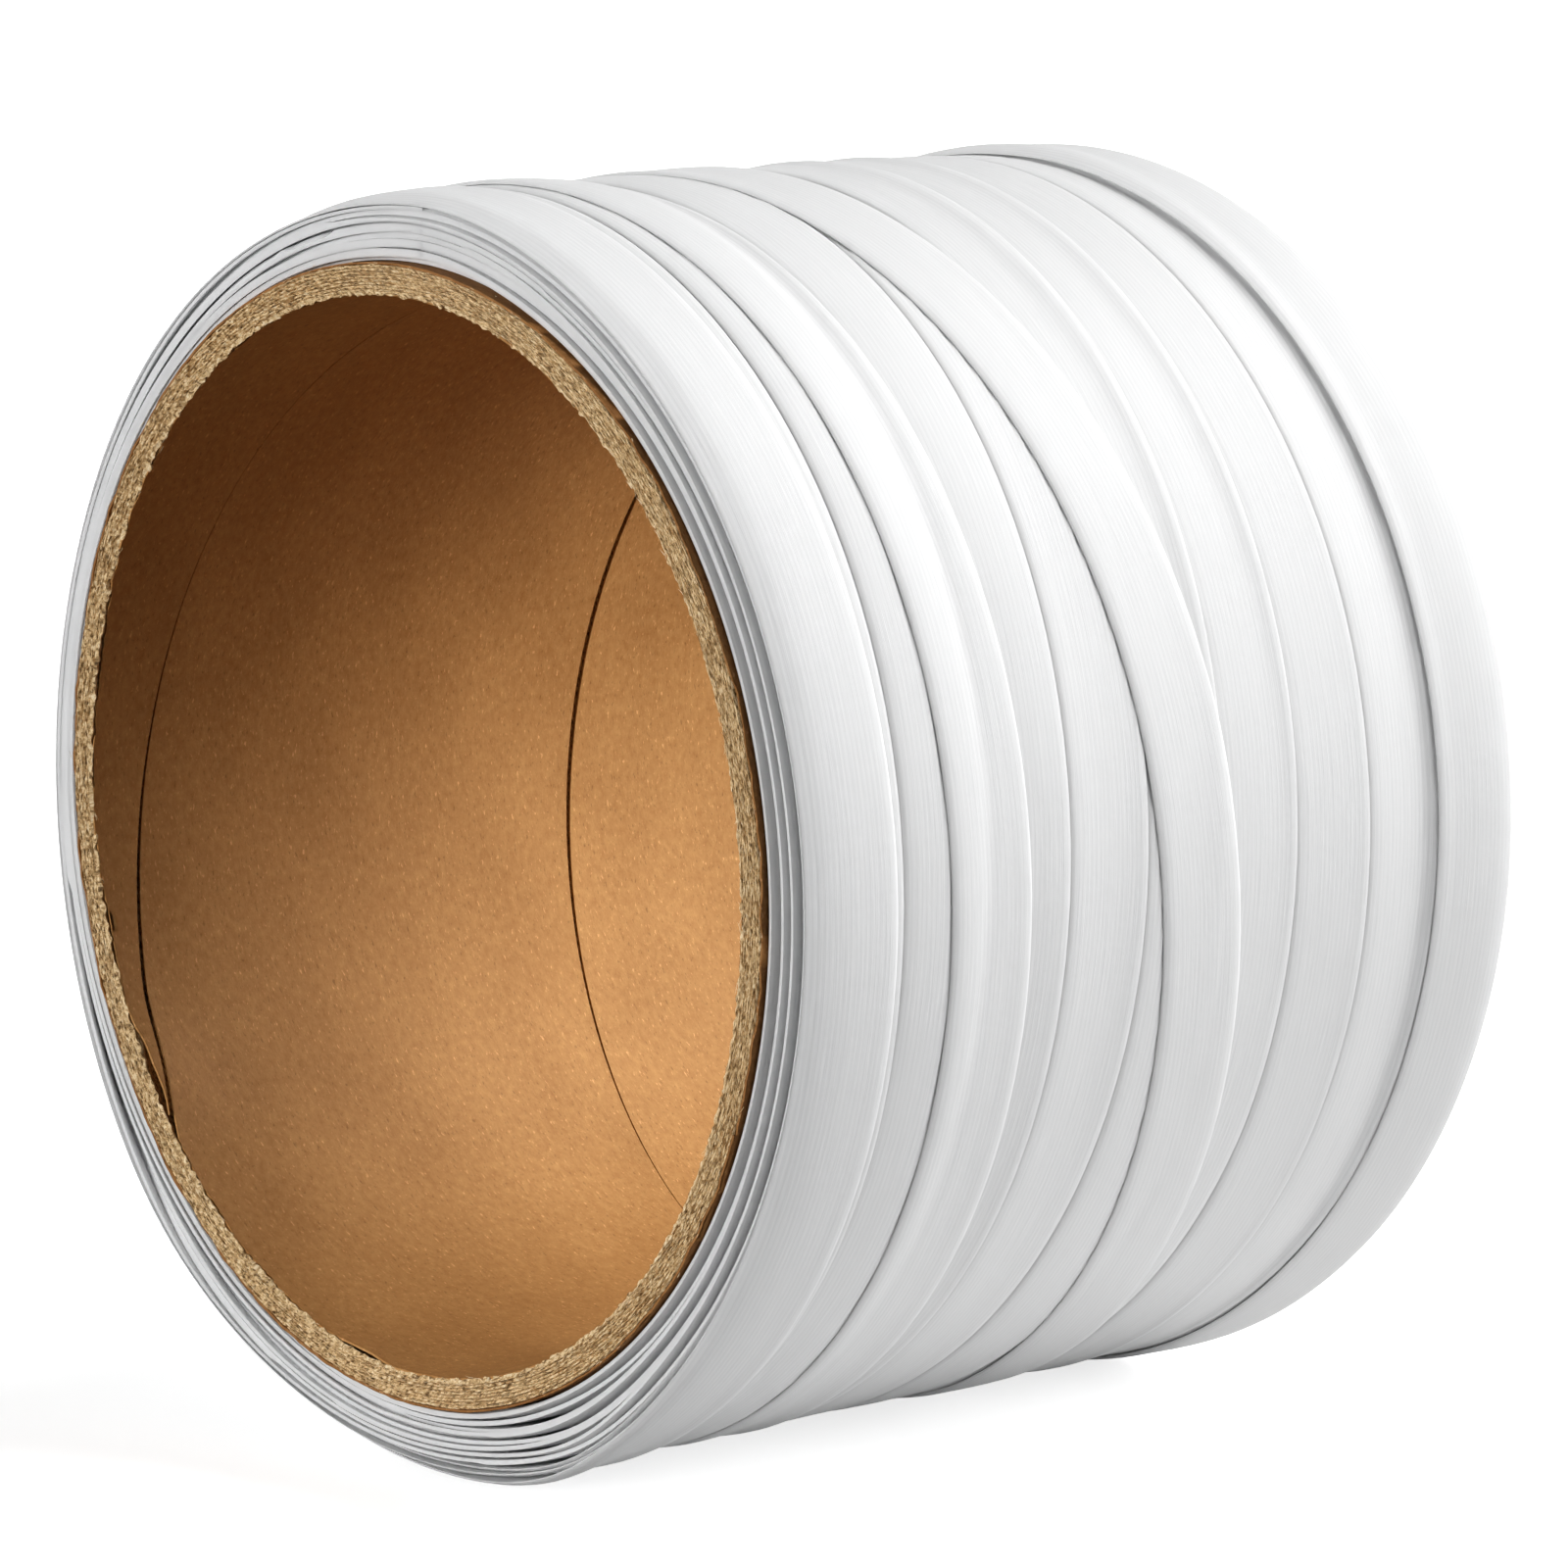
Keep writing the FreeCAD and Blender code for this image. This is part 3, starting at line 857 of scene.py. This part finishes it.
def floor_material():
    """Pale matt studio floor. The camera sees it pale all over, but it throws light back up only
    beside the roll: before and beyond the open ends it does so as if dark cloths lay there,
    which keeps the upper part of the bore dark."""
    surface = Surface("studio_floor", FLOOR_SHADE, 0.8)
    seen = surface.tree.nodes.new("ShaderNodeLightPath").outputs["Is Camera Ray"]
    position = surface.tree.nodes.new("ShaderNodeTexCoord").outputs["Object"]
    along = surface.node("SeparateXYZ", Vector=position).outputs["X"]
    lit = [
        surface.node("MapRange", Value=along, From_Min=dark, From_Max=light).outputs["Result"]
        for dark, light in (NEAR_CLOTH_EDGE, FAR_CLOTH_EDGE)
    ]
    bounce = surface.mix(surface.mix(1.0, *lit, "MULTIPLY"), CLOTH_SHADE, FLOOR_SHADE)
    grain = surface.noise(position, 180.0)
    colour = surface.mix(seen, bounce, FLOOR_SHADE)
    surface.shader.inputs["Emission Color"].default_value = (*WHITE, 1)
    glow = surface.spread(seen, 0.0, FLOOR_GLOW)
    surface.tree.links.new(glow, surface.shader.inputs["Emission Strength"])
    return surface.finish(colour, surface.spread(grain, 0.72, 0.85), grain, 0.00005)


# ------------------------------------------------------------------ build
def place(piece, body, slot, *nodes):
    """Make a piece move with a body and stand for CAD nodes. The slot is not used."""
    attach(piece, body)
    if nodes:
        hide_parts(*nodes)
    return piece


def build_strap():
    """The wound passes of the strap and its loose end."""
    material = strap_material()
    angles, middles, passes = strap_route()
    winding = (angles, middles, *wind_strap(angles, middles, passes))
    tip_step = len(angles) - 1
    peel_strides = round((TIP_ANGLE - PEEL_ANGLE) / DEGREES_PER_STEP / MESH_STRIDE)
    peel_step = tip_step - peel_strides * MESH_STRIDE
    for number in range(PASS_COUNT):
        steps = np.flatnonzero(passes == number)
        start, stop = steps[0], min(steps[-1] + MESH_STRIDE, tip_step)
        if number == PASS_COUNT - 1:
            start -= (start - peel_step) % MESH_STRIDE
            stop = peel_step
        name = f"wound_strap_{number + 1:02d}"
        piece = strap_piece(name, (start, stop), winding, material, number >= INNER_PASS_COUNT - 1)
        place(piece, "roll", "strap", f"strap_layer_{number + 1:02d}")
    piece = strap_piece("loose_strap_end", (peel_step, tip_step), winding, material, True)
    hinge = on_roll(FREE_END_X, HINGE_RADIUS, PEEL_ANGLE)
    beyond = on_roll(FREE_END_X, HINGE_RADIUS, PEEL_ANGLE + BEND_ARC)
    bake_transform(piece)
    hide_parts("strap_free_end")


def build_core():
    """The facing papers and board plies of the core."""
    inner_kraft = kraft_material("kraft_lining", LINING_LIGHT, LINING_DARK)
    outer_kraft = kraft_material("kraft_wrap", WRAP_LIGHT, WRAP_DARK)
    board = board_material()
    inside = BORE_RADIUS + LINER_THICKNESS
    outside = CORE_RADIUS - LINER_THICKNESS
    lining = liner_piece(
        "core_lining", BORE_RADIUS, LINING_SEAM, LINING_SETBACK, inner_kraft, SEED + 1, bulge=1.0
    )
    place(lining, "roll", "core_liner", "core_inner_liner")
    wrap = liner_piece("core_wrap", outside, WRAP_SEAM, WRAP_SETBACK, outer_kraft, SEED + 2)
    place(wrap, "roll", "core_liner", "core_outer_liner")
    plies = sorted(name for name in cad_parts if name.startswith("core_ply"))
    edges = np.linspace(inside, outside, len(plies) + 1)
    for index, node in enumerate(plies):
        name = node.replace("core_ply", "board_ply")
        low, high = edges[index], edges[index + 1] - PLY_GAP
        torn = (INNER_PLY_OVERHANG, INNER_PLY_RECESS) if index == 0 else (0.0, 0.0)
        ply = ply_piece(name, low, high, board, SEED + 10 + index, *torn)
        place(ply, "roll", "core_board", node)
    sites = (                    # the torn inner edge, the sawn face and the outer edge
        (900, inside + 0.25, 0.3, 2.6),
        (420, (inside + outside) / 2, 1.5, 2.2),
        (160, outside, 0.2, 1.8),
    )
    fibres = fibre_piece("core_edge_fibres", sites, fibre_material(), SEED + 30)
    place(fibres, "roll", "core_board")


def build_floor():
    """The floor that the roll lies on."""
    low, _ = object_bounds()
    mesh = bpy.data.meshes.new("floor")
    signs = ((-1, -1), (1, -1), (1, 1), (-1, 1))
    corners = [(x * FLOOR_REACH, y * FLOOR_REACH, 0) for x, y in signs]
    mesh.from_pydata(corners, [], [(0, 1, 2, 3)])
    mesh.materials.append(floor_material())
    floor = bpy.data.objects.new("floor", mesh)
    floor.location.z = low[2]
    bpy.context.scene.collection.objects.link(floor)


def build_world():
    """White backdrop, which lights the roll only faintly."""
    world = bpy.data.worlds.new("studio")
    world.use_nodes = True
    tree = world.node_tree
    background = tree.nodes["Background"]
    background.inputs["Color"].default_value = (*WHITE, 1)
    seen = tree.nodes.new("ShaderNodeLightPath").outputs["Is Camera Ray"]
    strength = tree.nodes.new("ShaderNodeMapRange")
    strength.inputs["To Min"].default_value = WORLD_LIGHT
    tree.links.new(seen, strength.inputs["Value"])
    tree.links.new(strength.outputs["Result"], background.inputs["Strength"])
    bpy.context.scene.world = world


def soft_sun(name, strength, direction, softness):
    """Large, distant soft light that shines from a direction."""
    light = bpy.data.lights.new(name, "SUN")
    light.energy = strength
    light.angle = math.radians(softness)
    lamp = bpy.data.objects.new(name, light)
    lamp.rotation_euler = Vector(direction).to_track_quat("Z", "Y").to_euler()
    bpy.context.scene.collection.objects.link(lamp)


def build_lights():
    """The large soft lights."""
    for name, settings in LIGHTS.items():
        soft_sun(name, *settings)


def build_camera():
    """The camera, and how its picture is developed."""
    camera = bpy.data.cameras.new("camera")
    camera.sensor_width = CAMERA_SENSOR
    camera.lens = CAMERA_LENS
    viewer = bpy.data.objects.new("camera", camera)
    look = Vector(CAMERA_LOOK).normalized()
    right = look.cross(Vector(CAMERA_UP)).normalized()
    turned = Matrix((right, right.cross(look), -look)).transposed().to_4x4()
    viewer.matrix_world = Matrix.Translation(CAMERA_PLACE) @ turned
    bpy.context.scene.collection.objects.link(viewer)
    bpy.context.scene.camera = viewer
    bpy.context.scene.view_settings.view_transform = "Standard"
    bpy.context.scene.view_settings.look = "Medium High Contrast"


build_strap()
build_core()
build_floor()
build_world()
build_lights()
build_camera()
